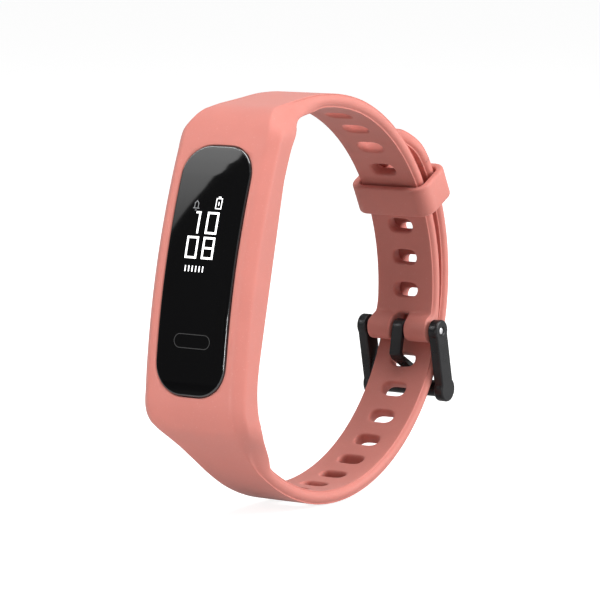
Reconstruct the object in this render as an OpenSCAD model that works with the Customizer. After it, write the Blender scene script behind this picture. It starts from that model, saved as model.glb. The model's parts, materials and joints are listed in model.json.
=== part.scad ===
// Wrist activity tracker: a slim display core held in a one-piece silicone band,
// fastened at the back by a pin buckle with its tongue, and a sliding keeper loop.
// Millimetres. X is the wrist's own axis, the display faces -Y, and Z is up.
// The origin is the centre of the arc that the tail strap follows round the wrist.

/* [Band] */
// Width of both straps
strap_w = 11.2; // [10:0.1:13.4]
// Thickness of both straps
strap_t = 2.1; // [1.8:0.05:2.3]
// Radius of the straps' inner surface
wrist_r = 30; // [27:0.5:36]
// How far the buckle strap's arc centre sits below the tail strap's arc centre
tuck_down = 2.45; // [2.2:0.05:2.8]
// How far the buckle strap's arc centre sits forward of the tail strap's arc centre
tuck_forward = 2.15; // [2.05:0.05:2.4]
// Angle between two neighbouring holes
hole_step = 10; // [9:0.1:12]
// Length of a hole across the strap
hole_l = 4.6; // [3.6:0.1:5.2]
// Height of a hole along the strap
hole_h = 2.7; // [2.4:0.1:3.2]
// Angle by which the whole band leans back
lean_back = 13.5; // [0:0.5:20]

/* [Cradle] */
// Width of the cradle round the core
cradle_w = 18; // [17:0.1:22]
// Depth of the cradle's side walls
cradle_d = 5.6; // [5.2:0.1:6.5]
// Radius of the cradle's corner bends
bend_r = 6.5; // [5:0.1:7]
// Leg of the 45 degree bevel round the front
bevel = 1.5; // [0.6:0.1:1.8]
// Height of the shoulders that narrow to the straps
taper_h = 7; // [5:0.5:9]

/* [Core] */
// Length of the cover glass
glass_l = 36.8; // [34:0.2:40]
// Width of the cover glass
glass_w = 12.3; // [11:0.1:13.5]
// Thickness of the cover glass
glass_t = 1.0; // [0.8:0.1:1.2]
// Radius of the glass corners
glass_r = 4.6; // [3:0.1:5.4]
// Radius of the glass along its length
face_r = 111; // [90:1:200]
// How far the core flange stands out past the glass at each side
flange_side = 1.35; // [1:0.05:1.6]
// How far the core flange stands out past the glass at each end
flange_end = 0.7; // [0.5:0.05:0.9]
// Whole depth of the core from glass to back
core_d = 8.4; // [8:0.1:9.5]
// Wall of the core housing
wall = 0.9; // [0.7:0.05:1.1]
// Free play round the core in its cradle
core_play = 0.15; // [0.1:0.01:0.25]

/* [Buckle and keeper] */
// Radius of the strap's end barrel
barrel_r = 2; // [1.8:0.05:2.05]
// Radius of the buckle pin
pin_r = 0.55; // [0.4:0.05:0.7]
// Thickness of each buckle arm
arm_t = 1.65; // [1.2:0.05:2]
// Width of each buckle arm between its ends
arm_w = 3.1; // [2:0.1:3.3]
// Radius of the buckle's crossbar
bar_r = 1.3; // [1:0.05:1.45]
// Width of the tongue
tongue_w = 2; // [1.6:0.1:2.4]
// Thickness of the tongue
tongue_t = 0.9; // [0.7:0.05:1]
// Height of the keeper loop along the strap
keeper_h = 5; // [3.5:0.1:6]
// Wall of the keeper loop
keeper_wall = 1.2; // [0.9:0.05:1.5]
// Angle of the keeper round the wrist
keeper_at = 41; // [38:0.5:44]

/* [Hidden] */
$fn = 96;
eps = 0.01;
run_gap = 0.05;
seat_gap = 0.25;

// Centre of the buckle strap's arc, as [Y, Z]
buckle_c = [-tuck_forward, -tuck_down];
outer_r = wrist_r + strap_t;

// The front of the band's cradle: the face stands forward of the arc centre
face_z = -0.8;
rim_back = 1.45;
rim_y = rim_back - wrist_r;
glass_proud = 0.15;
glass_y = rim_y - glass_proud;
face_c = [rim_y + face_r, face_z];

// Angles at which the straps leave their arcs on the way to the cradle
upper_leave = 110;
lower_leave = -116;
shoulder_out = 0.12;
shoulder_in = 0.3;
into_shoulder = 5;

// Widths and lengths of the core, of its pocket and of the glass window
core_w = glass_w + 2 * flange_side;
core_l = glass_l + 2 * flange_end;
core_r = glass_r + flange_end;
pocket_w = core_w + 2 * core_play;
pocket_l = core_l + 2 * core_play;
window_w = glass_w + 2 * core_play;
window_l = glass_l + 2 * core_play;

// Depths inside the core, counted back from the front of the glass
bond_t = 0.15;
housing_front = glass_t + bond_t;
flange_d = 3.3;
split_d = 5.1;
contact_d = core_d - 1.65;
board_d = 3.75;
board_t = 0.8;
boss_d = 2.5;
display_d = 1.75;
display_back = 2.65;
cell_d = 4.95;
cell_t = 2.0;

// Motor: a coin case with a half-round weight turning on its shaft
motor_r = 3.6;
motor_d = 4.85;
motor_t = 2.3;
motor_wall = 0.25;
shaft_r = 0.35;

// Places along the length of the core, from the middle of the glass
display_w = 8;
display_l = glass_l - 22.6;
display_z = glass_l / 2 - 6 - display_l / 2;
display_low = display_z - display_l / 2;
contact_z = 4.1 - core_l / 2;
contact_x = 2.6;
antenna_z = contact_z + 1.4;
key_z = contact_z + 4.5;
shield_z = key_z + 3.9;
motor_z = contact_z + 6.4;
cell_low = motor_z + motor_r + 0.5;
cell_high = core_l / 2 - 4.6;
cell_z = (cell_low + cell_high) / 2;
cell_l = cell_high - cell_low;
screw_z = glass_l / 2 - 2;
processor_z = screw_z - 5.9;
memory_z = processor_z - 4.6;
screw_r = 0.5;
boss_r = 1.3;

// The buckle pin lies just inside the tail strap
pin_at = -4.5;
pin_ring = wrist_r - 0.2 - barrel_r;
pin_c = pin_ring * [cos(pin_at), sin(pin_at)];
bar_at = -19;
bar_ring = outer_r + 0.35 + bar_r;
bar_c = bar_ring * [cos(bar_at), sin(bar_at)];
arm_in = strap_w / 2 + seat_gap;
buckle_half = arm_in + arm_t;
arm_end_r = 1.75;
bar_end_r = 1.95;

// Holes of the tail strap: the tongue is in the one at tongue_hole_at
tongue_hole_at = -13.5;
tail_first = -7;
tail_last = 6;
buckle_holes_from = 12.2;
buckle_holes = 8;
tail_round_at = 51.5;
key_slot_w = tongue_w + 0.7;

// Direction along the outer side of each strap where it leaves its arc
function out_dir(a) = [cos(a), sin(a)];
function along_dir(a, way) = way * [-sin(a), cos(a)];

// Centre of the bend that joins a strap's outer line to the curved face
function bend_centre(c, a, way) =
    let (start = c + (outer_r + shoulder_out - bend_r) * out_dir(a),
         t = along_dir(a, way),
         d = start - face_c,
         b = d * t,
         k = d * d - pow(face_r - bend_r, 2))
    start + (sqrt(b * b - k) - b) * t;

upper_bend = bend_centre(buckle_c, upper_leave, 1);
lower_bend = bend_centre([0, 0], lower_leave, -1);
function face_angle(p) = atan2(p[1] - face_c[1], p[0] - face_c[0]);
upper_face = face_angle(upper_bend);
lower_face = face_angle(lower_bend) + 360;

// ---- Helpers ----

// The whole band leans back about the wrist's axis
module stand() {
    rotate([-lean_back, 0, 0]) children();
}

// Turns a flat outline drawn as (Y, Z) into a slab from x0 to x1
module along_x(x0, x1) {
    translate([x0, 0, 0]) rotate([90, 0, 90]) linear_extrude(x1 - x0) children();
}

// Sweeps a section drawn as (radius, X) round the wrist's axis at centre c
module sweep(c, from, to) {
    translate([0, c[0], c[1]])
        rotate([0, 90, 0])
        rotate([0, 0, 90 + from])
        rotate_extrude(angle = to - from, $fn = 720) children();
}

// Corner centres lie on whole microns, so an arc always meets its straight edges
function whole_micron(v) = round(v * 1000) / 1000;

// Flat round-cornered plate, centred
module plate(w, l, r) {
    corner_x = whole_micron(w / 2 - r);
    corner_y = whole_micron(l / 2 - r);
    square([2 * corner_x, 2 * (corner_y + r)], center = true);
    square([2 * (corner_x + r), 2 * corner_y], center = true);
    for (sx = [-1, 1], sy = [-1, 1]) translate([sx * corner_x, sy * corner_y]) circle(r);
}

// Slab of the core from depth d0 to d1, its outline drawn as (X, Z)
module core_slab(d0, d1) {
    translate([0, glass_y + d1, face_z]) rotate([90, 0, 0]) linear_extrude(d1 - d0) children();
}

// Round bar across X
module bar_x(c, r, x0, x1) {
    along_x(x0, x1) translate(c) circle(r);
}

// Flat link with round ends between two points of the side view
module link(p, q, w) {
    d = q - p;
    u = d / norm(d);
    s = [-u[1], u[0]] * w / 2;
    polygon([p + s, p - s, q - s, q + s]);
    translate(p) circle(w / 2);
    translate(q) circle(w / 2);
}

// Strap section with fully rounded edges, drawn as (radius, X)
module strap_section() {
    translate([wrist_r + strap_t / 2, 0]) {
        square([strap_t, strap_w - strap_t], center = true);
        for (s = [-1, 1]) translate([0, s * (strap_w - strap_t) / 2]) circle(strap_t / 2);
    }
}

// Cutter for the bevel at side s of a curved face of radius r, drawn as (radius, X)
module bevel_section(r, s) {
    h = cradle_w / 2;
    polygon([[r - bevel - 0.5, s * (h + 0.5)], [r + 0.5, s * (h - bevel - 0.5)], [r + 0.5, s * (h + 0.5)]]);
}

// Stadium hole through a strap at angle a round centre c
module strap_hole(c, a) {
    translate([0, c[0], c[1]])
        rotate([a, 0, 0])
        translate([0, wrist_r - 1, 0])
        rotate([-90, 0, 0])
        linear_extrude(strap_t + 2)
        plate(hole_l, hole_h, hole_h / 2 - eps);
}

// ---- Band ----

// Outline of the cradle and its shoulders from the front, drawn as (X, Z)
shoulder_steps = 12;
corner_steps = 8;
corner_down = 8;
corner_back = 6.5;
full_above = 1.2;
full_below = 3.65;
full_top = upper_bend[1] + full_above;
full_bottom = lower_bend[1] - full_below;
neck_w = strap_w - strap_t + 0.4;
function shoulder(i) = neck_w / 2 + (cradle_w - neck_w) / 2 * (0.5 + 0.5 * cos(180 * i / shoulder_steps));

module front_outline() {
    top = [for (i = [0:shoulder_steps]) [shoulder(i), full_top + taper_h * i / shoulder_steps]];
    bottom = [for (i = [shoulder_steps:-1:0]) [shoulder(i), full_bottom - taper_h * i / shoulder_steps]];
    right = concat(bottom, top);
    left = [for (i = [len(right) - 1:-1:0]) [-right[i][0], right[i][1]]];
    polygon(concat(right, left));
}

// Points of an arc of radius r round c, as [Y, Z]
function arc_points(c, r, from, to, n) = [for (i = [0:n]) c + r * out_dir(from + (to - from) * i / n)];

// Points of a curve from a to b that leaves and arrives towards c, as [Y, Z]
function corner_points(a, c, b) =
    [for (i = [0:corner_steps]) let (s = i / corner_steps) pow(1 - s, 2) * a + 2 * s * (1 - s) * c + s * s * b];

// Side outline of the cradle and its shoulders, as [Y, Z]
module cradle_outline() {
    wall_y = rim_y + cradle_d;
    upper_t = along_dir(upper_leave, 1);
    lower_t = along_dir(lower_leave, -1);
    upper_in = buckle_c + (wrist_r - shoulder_in) * out_dir(upper_leave);
    lower_in = (wrist_r - shoulder_in) * out_dir(lower_leave);
    upper_corner = upper_in + (wall_y - upper_in[0]) / upper_t[0] * upper_t;
    lower_corner = lower_in + (wall_y - lower_in[0]) / lower_t[0] * lower_t;
    polygon(concat(
        [buckle_c + (outer_r + shoulder_out) * out_dir(upper_leave)],
        arc_points(upper_bend, bend_r, upper_leave, upper_face, 20),
        arc_points(face_c, face_r, upper_face, lower_face, 28),
        arc_points(lower_bend, bend_r, lower_face, lower_leave + 360, 20),
        [(outer_r + shoulder_out) * out_dir(lower_leave),
         lower_in],
        corner_points(lower_corner - corner_back * lower_t, lower_corner, lower_corner + [0, corner_down]),
        corner_points(upper_corner - [0, corner_down], upper_corner, upper_corner - corner_back * upper_t),
        [upper_in]));
}

// The outline made solid, with the long edges of its curved face bevelled
module bevelled_block() {
    difference() {
        along_x(-cradle_w / 2, cradle_w / 2) cradle_outline();
        for (s = [-1, 1]) sweep(face_c, upper_face - 0.2, lower_face + 0.2) bevel_section(face_r, s);
    }
}

module cradle_block() {
    difference() {
        intersection() {
            bevelled_block();
            translate([0, rim_y + 30, 0]) rotate([90, 0, 0]) linear_extrude(60) front_outline();
        }
        core_pocket();
    }
}

module core_pocket() {
    core_slab(-3, core_d + 4) plate(window_w, window_l, glass_r + core_play);
    core_slab(flange_d - core_play, core_d + 8) plate(pocket_w, pocket_l, core_r + core_play);
}

// The end barrel that holds the buckle pin, with its web and the slot for the tongue
module strap_barrel() {
    web_top = buckle_c + (wrist_r + strap_t / 2) * out_dir(7);
    web_half = (strap_w - strap_t) / 2 - 0.3;
    difference() {
        union() {
            bar_x(pin_c, barrel_r, -strap_w / 2, strap_w / 2);
            along_x(-web_half, web_half) link(web_top, pin_c + [0.75, 0.6], strap_t - 0.2);
        }
        along_x(-key_slot_w / 2, key_slot_w / 2)
            translate(pin_c - [5, 5]) square([10, 5 + barrel_r + 0.15]);
        bar_x(pin_c, pin_r + run_gap, -strap_w, strap_w);
    }
}

// Buckle strap, swept from its barrel up to the cradle
module buckle_strap() {
    difference() {
        sweep(buckle_c, 5, upper_leave + into_shoulder) strap_section();
        for (i = [0:buckle_holes - 1]) strap_hole(buckle_c, buckle_holes_from + i * hole_step);
    }
}

// Tail strap, swept round the wrist to its rounded tip
module tail_strap() {
    tip_at = tail_round_at + asin(strap_w / 2 / outer_r) + 3;
    difference() {
        sweep([0, 0], lower_leave - into_shoulder, tip_at) strap_section();
        for (i = [tail_first:tail_last]) strap_hole([0, 0], tongue_hole_at + i * hole_step);
        rotate([tail_round_at - 90, 0, 0]) difference() {
            translate([-strap_w, -strap_w - 0.01, wrist_r - 5]) cube([2 * strap_w, strap_w, 12]);
            translate([0, 0, wrist_r - 6]) cylinder(r = strap_w / 2 + 0.15, h = 14);
        }
    }
}

module wrist_strap() {
    color([0.90, 0.52, 0.48]) stand() union() {
        cradle_block();
        buckle_strap();
        strap_barrel();
        tail_strap();
    }
}

// Distance from the origin to the buckle strap's inner surface in direction a
function norm_inner(a) =
    let (b = -(buckle_c * out_dir(a)),
         k = buckle_c * buckle_c - wrist_r * wrist_r)
    sqrt(b * b - k) - b;

// Loop round both straps, free to slide along them
module strap_keeper() {
    low = norm_inner(keeper_at) - seat_gap;
    high = outer_r + seat_gap;
    w = strap_w + 2 * seat_gap;
    mid = (low + high) / 2;
    color([0.86, 0.48, 0.44]) stand()
        rotate([keeper_at, 0, 0])
        translate([0, mid, -keeper_h / 2])
        linear_extrude(keeper_h)
        difference() {
            plate(w + 2 * keeper_wall, high - low + 2 * keeper_wall, 2.4);
            plate(w, high - low, 1.0);
        }
}

// ---- Buckle ----

module buckle_arm(x0) {
    along_x(x0, x0 + arm_t) {
        link(pin_c, bar_c, arm_w);
        translate(pin_c) circle(arm_end_r);
        translate(bar_c) circle(bar_end_r);
    }
}

module buckle_frame() {
    color([0.07, 0.07, 0.08]) stand() difference() {
        union() {
            buckle_arm(arm_in);
            buckle_arm(-arm_in - arm_t);
            bar_x(bar_c, bar_r, -arm_in - eps, arm_in + eps);
        }
        bar_x(pin_c, pin_r, -buckle_half - 1, buckle_half + 1);
    }
}

module buckle_pin() {
    color([0.62, 0.62, 0.64]) stand() bar_x(pin_c, pin_r, -buckle_half + 0.15, buckle_half - 0.15);
}

// Tongue: a ring round the pin, down inside the tail, out through its hole and over the crossbar
tongue_ring_r = pin_r + run_gap + 0.85;
tongue_wrap = 50;
hole_in = (wrist_r - 1.5) * out_dir(tongue_hole_at - 0.6);
hole_out = (outer_r + 0.35) * out_dir(tongue_hole_at - 0.8);
bar_wrap = (bar_r + tongue_t / 2 + run_gap) / cos(tongue_wrap / 2);
bar_over = bar_c + bar_wrap * out_dir(bar_at - 5 + tongue_wrap);
tongue_tip = bar_c + bar_wrap * out_dir(bar_at - 5);
tongue_top = pin_c - [tongue_ring_r - tongue_t / 2, 0];
tongue_path = [tongue_top, hole_in - [0.75, -0.55], hole_in, hole_out, bar_over, tongue_tip];

module buckle_tongue() {
    color([0.09, 0.09, 0.10]) stand() difference() {
        along_x(-tongue_w / 2, tongue_w / 2) {
            translate(pin_c) circle(tongue_ring_r);
            for (i = [0:len(tongue_path) - 2]) link(tongue_path[i], tongue_path[i + 1], tongue_t);
        }
        bar_x(pin_c, pin_r + run_gap, -tongue_w, tongue_w);
    }
}

// ---- Core ----

// Shell between two depths that follow the curved face
module curved_shell(d0, d1) {
    sweep([face_c[0] - glass_proud, face_c[1]], 160, 200)
        translate([face_r - d1, -cradle_w]) square([d1 - d0, 2 * cradle_w]);
}

module cover_glass() {
    color([0.04, 0.04, 0.05]) stand() intersection() {
        curved_shell(0, glass_t);
        core_slab(-1, 6) plate(glass_w, glass_l, glass_r);
    }
}

// Ring of adhesive between the glass and the housing
module glass_bond() {
    color([0.15, 0.15, 0.15]) stand() intersection() {
        curved_shell(glass_t, housing_front);
        core_slab(-1, 6) difference() {
            plate(glass_w - 0.1, glass_l - 0.1, glass_r);
            plate(glass_w - 2 * wall, glass_l - 2 * wall, glass_r - wall);
        }
    }
}

module front_housing() {
    inner_r = core_r - wall;
    color([0.10, 0.10, 0.11]) stand() difference() {
        union() {
            intersection() {
                core_slab(0.5, flange_d + 1) plate(glass_w - 0.1, glass_l - 0.1, glass_r - 0.05);
                curved_shell(housing_front, 12);
            }
            core_slab(flange_d, split_d) plate(core_w, core_l, core_r);
        }
        core_slab(0, flange_d) plate(glass_w - 2 * wall, glass_l - 2 * wall, glass_r - wall);
        core_slab(flange_d - eps, split_d + 1) plate(core_w - 3.2, core_l - 2.6, inner_r);
        core_slab(split_d - 0.45, split_d + 1) seal_ring(0);
    }
    color([0.10, 0.10, 0.11]) stand() for (s = [-1, 1]) screw_boss(s);
}

// Boss at each end of the housing that takes a board screw
module screw_boss(s) {
    end = (glass_l - wall) / 2;
    intersection() {
        core_slab(boss_d, board_d) difference() {
            translate([-boss_r, s > 0 ? screw_z - boss_r : -end]) square([2 * boss_r, end - screw_z + boss_r]);
            translate([0, s * screw_z]) circle(screw_r + eps);
        }
        curved_shell(housing_front + eps, 12);
    }
}

// Ring groove and its seal, with the play given
module seal_ring(play) {
    difference() {
        plate(core_w - 1.1 - 2 * play, core_l - 0.9 - 2 * play, core_r - 0.5);
        plate(core_w - 2.1 + 2 * play, core_l - 1.9 + 2 * play, core_r - 1);
    }
}

module housing_seal() {
    color([0.2, 0.2, 0.22]) stand() core_slab(split_d - 0.45, split_d) seal_ring(run_gap);
}

// Gently domed back with two holes for the charging contacts
module back_cover() {
    dome_r = 26;
    color([0.12, 0.12, 0.13]) stand() difference() {
        intersection() {
            core_slab(split_d, core_d) plate(core_w, core_l, core_r);
            translate([0, glass_y + core_d - dome_r, -60]) cylinder(r = dome_r, h = 120, $fn = 180);
        }
        intersection() {
            core_slab(split_d - 1, core_d) plate(core_w - 2.6, core_l - 2.6, core_r - 1.3);
            translate([0, glass_y + core_d - dome_r, -60]) cylinder(r = dome_r - wall, h = 120, $fn = 180);
        }
        for (s = [-1, 1]) contact_post(s, 1 + run_gap, split_d, core_d + 1);
    }
}

module contact_post(s, r, d0, d1) {
    core_slab(d0, d1) translate([s * contact_x, contact_z]) circle(r);
}

module charge_contact(s) {
    color([0.85, 0.70, 0.35]) stand() {
        contact_post(s, 1, contact_d, core_d - 0.15);
        contact_post(s, 1.35, contact_d, contact_d + 0.35);
    }
}

// Leaf spring from the board back to a contact
module contact_spring(s) {
    foot = [s * contact_x, contact_z];
    color([0.80, 0.72, 0.45]) stand() {
        core_slab(board_d + board_t, board_d + board_t + 0.2) translate(foot) square([1.2, 3], center = true);
        core_slab(board_d + board_t + 0.1, contact_d - 0.1) translate(foot + [0, -1.2]) square([1.2, 0.2], center = true);
        core_slab(contact_d - 0.2, contact_d) translate(foot) square([1.2, 2.6], center = true);
    }
}

module display_panel() {
    color([0.03, 0.03, 0.04]) stand() core_slab(display_d, display_back) translate([0, display_z]) square([display_w, display_l], center = true);
}

// Clear adhesive that fills between the curved glass and the flat display
module display_bond() {
    color([0.60, 0.62, 0.66]) stand() intersection() {
        core_slab(0.5, display_d) translate([0, display_z]) square([display_w - 0.4, display_l - 0.4], center = true);
        curved_shell(glass_t, 6);
    }
}

// Ribbon from the display down to the board
module display_flex() {
    color([0.75, 0.45, 0.15]) stand() {
        core_slab(display_back, display_back + 0.15) translate([0, display_low + 2.1]) square([5, 5], center = true);
        core_slab(display_back + 0.05, board_d) translate([0, display_low - 0.4]) square([5, 0.15], center = true);
        core_slab(board_d - 0.15, board_d) translate([0, display_low - 1.5]) square([5, 2.2], center = true);
    }
}

module touch_electrode() {
    color([0.80, 0.50, 0.25]) stand() core_slab(1.8, 1.95) translate([0, key_z]) plate(7.4, 3.4, 1.6);
}

module touch_spacer() {
    color([0.22, 0.22, 0.24]) stand() core_slab(1.95, board_d) translate([0, key_z]) plate(6.4, 2.4, 1.1);
}

module main_board() {
    color([0.05, 0.25, 0.15]) stand() core_slab(board_d, board_d + board_t) difference() {
        plate(core_w - 3.9, core_l - 3.4, core_r - 1.5);
        for (z = [1, -1]) translate([0, z * screw_z]) circle(screw_r + 0.1);
    }
}

// Small screw through the board into the front housing's boss
module board_screw(z) {
    color([0.70, 0.70, 0.72]) stand() {
        core_slab(board_d - 0.7, board_d + board_t) translate([0, z]) circle(screw_r);
        core_slab(board_d + board_t, board_d + board_t + 0.45) translate([0, z]) circle(screw_r + 0.4);
    }
}

// Chip on the front of the board
module front_chip(x, z, w, l, t) {
    core_slab(board_d - t, board_d) translate([x, z]) square([w, l], center = true);
}

module processor_chip() {
    color([0.10, 0.10, 0.11]) stand() front_chip(0, processor_z, 4.4, 4.4, 0.7);
}

module memory_chip() {
    color([0.12, 0.12, 0.13]) stand() front_chip(-2.4, memory_z, 2.6, 3.2, 0.6);
}

module motion_sensor() {
    color([0.14, 0.14, 0.15]) stand() front_chip(2.4, memory_z, 2.2, 2.6, 0.75);
}

module radio_shield() {
    color([0.72, 0.72, 0.74]) stand() front_chip(0, shield_z, 7.2, 3.6, 0.9);
}

module antenna_strip() {
    color([0.82, 0.66, 0.30]) stand() front_chip(0, antenna_z, 6.6, 1.2, 0.6);
}

// Row of small parts on the back of the board
module board_parts() {
    color([0.55, 0.42, 0.30]) stand()
        for (i = [-2:2])
            core_slab(board_d + board_t, board_d + board_t + 0.35)
                translate([i * 1.5, contact_z + 2.1]) square([0.6, 0.8], center = true);
}

module battery_cell() {
    color([0.70, 0.71, 0.74]) stand() core_slab(cell_d, cell_d + cell_t) translate([0, cell_z]) plate(9.6, cell_l, 1);
}

module battery_board() {
    color([0.10, 0.35, 0.20]) stand()
        core_slab(cell_d + 0.2, cell_d + 1.2) translate([0, cell_z + cell_l / 2 + 0.7]) square([6, 1.2], center = true);
}

// Adhesive foam between the cell and the board
module battery_pad() {
    color([0.85, 0.85, 0.80]) stand()
        core_slab(board_d + board_t, cell_d) translate([0, cell_z]) square([6.5, cell_l - 4], center = true);
}

module motor_place() {
    translate([0, glass_y, face_z + motor_z]) children();
}

// Disc of the motor between two depths
module motor_disc(d0, d1, r) {
    motor_place() translate([0, d0, 0]) rotate([-90, 0, 0]) cylinder(r = r, h = d1 - d0);
}

module motor_case() {
    color([0.74, 0.74, 0.76]) stand() difference() {
        motor_disc(motor_d, motor_d + motor_t, motor_r);
        motor_disc(motor_d + motor_wall, motor_d + motor_t - motor_wall, motor_r - motor_wall);
        motor_disc(motor_d - 1, motor_d + motor_t + 1, shaft_r);
    }
}

module motor_shaft() {
    color([0.80, 0.80, 0.82]) stand() motor_disc(motor_d, motor_d + motor_t, shaft_r);
}

// Half-round weight turning on the shaft
module motor_weight() {
    d0 = motor_d + motor_wall + 0.3;
    d1 = motor_d + motor_t - motor_wall - 0.3;
    color([0.45, 0.44, 0.42]) stand() difference() {
        union() {
            difference() {
                motor_disc(d0, d1, motor_r - motor_wall - 0.3);
                motor_place() translate([-5, d0 - 1, 0]) cube([10, 5, 5]);
            }
            motor_disc(d0, d1, shaft_r + 0.6);
        }
        motor_disc(d0 - 1, d1 + 1, shaft_r + run_gap);
    }
}

wrist_strap();
strap_keeper();
buckle_frame();
buckle_pin();
buckle_tongue();
cover_glass();
glass_bond();
front_housing();
back_cover();
housing_seal();
display_panel();
display_bond();
display_flex();
touch_electrode();
touch_spacer();
main_board();
processor_chip();
memory_chip();
motion_sensor();
radio_shield();
antenna_strip();
board_parts();
board_screw(screw_z);  // upper_screw
board_screw(-screw_z);  // lower_screw
battery_cell();
battery_board();
battery_pad();
motor_case();
motor_shaft();
motor_weight();
charge_contact(-1);  // left_contact
charge_contact(1);  // right_contact
contact_spring(-1);  // left_contact_spring
contact_spring(1);  // right_contact_spring
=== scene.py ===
import json
import math

import bmesh
import bpy
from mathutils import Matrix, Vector


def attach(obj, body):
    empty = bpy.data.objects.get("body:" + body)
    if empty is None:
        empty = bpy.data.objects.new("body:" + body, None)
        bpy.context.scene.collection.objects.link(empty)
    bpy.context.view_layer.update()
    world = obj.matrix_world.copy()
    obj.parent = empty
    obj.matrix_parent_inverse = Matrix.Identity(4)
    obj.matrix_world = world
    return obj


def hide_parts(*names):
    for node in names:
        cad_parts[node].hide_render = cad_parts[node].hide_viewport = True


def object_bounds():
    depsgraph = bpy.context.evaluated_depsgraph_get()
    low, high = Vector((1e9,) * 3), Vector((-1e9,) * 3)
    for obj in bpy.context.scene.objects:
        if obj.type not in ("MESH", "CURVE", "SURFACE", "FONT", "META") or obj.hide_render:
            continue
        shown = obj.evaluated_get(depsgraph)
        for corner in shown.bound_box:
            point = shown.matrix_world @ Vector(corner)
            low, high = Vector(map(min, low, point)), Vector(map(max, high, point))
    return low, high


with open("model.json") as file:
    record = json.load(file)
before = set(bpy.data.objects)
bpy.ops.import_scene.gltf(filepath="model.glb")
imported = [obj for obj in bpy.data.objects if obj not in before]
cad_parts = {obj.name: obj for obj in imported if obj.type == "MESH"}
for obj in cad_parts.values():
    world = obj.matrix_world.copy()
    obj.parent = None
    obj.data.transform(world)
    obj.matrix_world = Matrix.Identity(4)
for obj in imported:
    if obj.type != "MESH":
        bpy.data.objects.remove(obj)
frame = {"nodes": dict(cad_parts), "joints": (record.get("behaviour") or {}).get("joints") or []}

# The box of the solid pieces alone, before the shown pieces are added
cad_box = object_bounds()
bpy.ops.object.select_all(action="DESELECT")

# ---- Board, chips and springs ----
# The main board is green laminate with copper tracks under its lacquer. Black chips, a tin
# shield and a gilt antenna strip sit on its front, and the contact springs on its back.

# Sizes are in millimetres, and MM turns them to the metres of the frame
MM = 0.001


def group_socket(tree, name, kind, way, value=None):
    s = tree.interface.new_socket(name=name, in_out=way, socket_type="NodeSocket" + kind)
    if value is not None:
        s.default_value = value


# Two surface effects that most of the finishes share. "moulded_grain" gives the fine skin of
# a moulded or stamped part, and "brushed_lines" the drawn lines of sheet metal.
grain = bpy.data.node_groups.new("moulded_grain", "ShaderNodeTree")
group_socket(grain, "Vector", "Vector", "INPUT")
group_socket(grain, "Scale", "Float", "INPUT", 900.0)
group_socket(grain, "Mottle", "Float", "OUTPUT")
group_socket(grain, "Height", "Float", "OUTPUT")
g_in = grain.nodes.new("NodeGroupInput")
g_out = grain.nodes.new("NodeGroupOutput")
broad = grain.nodes.new("ShaderNodeTexNoise")
broad.inputs["Detail"].default_value = 3.0
broad.inputs["Roughness"].default_value = 0.6
fine = grain.nodes.new("ShaderNodeTexNoise")
fine.inputs["Detail"].default_value = 2.0
pits = grain.nodes.new("ShaderNodeTexVoronoi")
broad_scale = grain.nodes.new("ShaderNodeMath")
broad_scale.operation = "MULTIPLY"
broad_scale.inputs[1].default_value = 0.09
fine_scale = grain.nodes.new("ShaderNodeMath")
fine_scale.operation = "MULTIPLY"
fine_scale.inputs[1].default_value = 2.7
pit_share = grain.nodes.new("ShaderNodeMath")
pit_share.operation = "MULTIPLY_ADD"
pit_share.inputs[1].default_value = 0.45
for a, b in (
    (g_in.outputs["Vector"], broad.inputs["Vector"]),
    (g_in.outputs["Vector"], fine.inputs["Vector"]),
    (g_in.outputs["Vector"], pits.inputs["Vector"]),
    (g_in.outputs["Scale"], broad_scale.inputs[0]),
    (g_in.outputs["Scale"], fine_scale.inputs[0]),
    (g_in.outputs["Scale"], pits.inputs["Scale"]),
    (broad_scale.outputs[0], broad.inputs["Scale"]),
    (fine_scale.outputs[0], fine.inputs["Scale"]),
    (pits.outputs["Distance"], pit_share.inputs[0]),
    (fine.outputs["Fac"], pit_share.inputs[2]),
    (broad.outputs["Fac"], g_out.inputs["Mottle"]),
    (pit_share.outputs[0], g_out.inputs["Height"]),
):
    grain.links.new(a, b)

brushed = bpy.data.node_groups.new("brushed_lines", "ShaderNodeTree")
group_socket(brushed, "Vector", "Vector", "INPUT")
group_socket(brushed, "Stretch", "Vector", "INPUT")
group_socket(brushed, "Lines", "Float", "OUTPUT")
b_in = brushed.nodes.new("NodeGroupInput")
b_out = brushed.nodes.new("NodeGroupOutput")
drawn = brushed.nodes.new("ShaderNodeVectorMath")
drawn.operation = "MULTIPLY"
line_noise = brushed.nodes.new("ShaderNodeTexNoise")
line_noise.inputs["Scale"].default_value = 1.0
line_noise.inputs["Detail"].default_value = 4.0
for a, b in (
    (b_in.outputs["Vector"], drawn.inputs[0]),
    (b_in.outputs["Stretch"], drawn.inputs[1]),
    (drawn.outputs[0], line_noise.inputs["Vector"]),
    (line_noise.outputs["Fac"], b_out.inputs["Lines"]),
):
    brushed.links.new(a, b)


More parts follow.
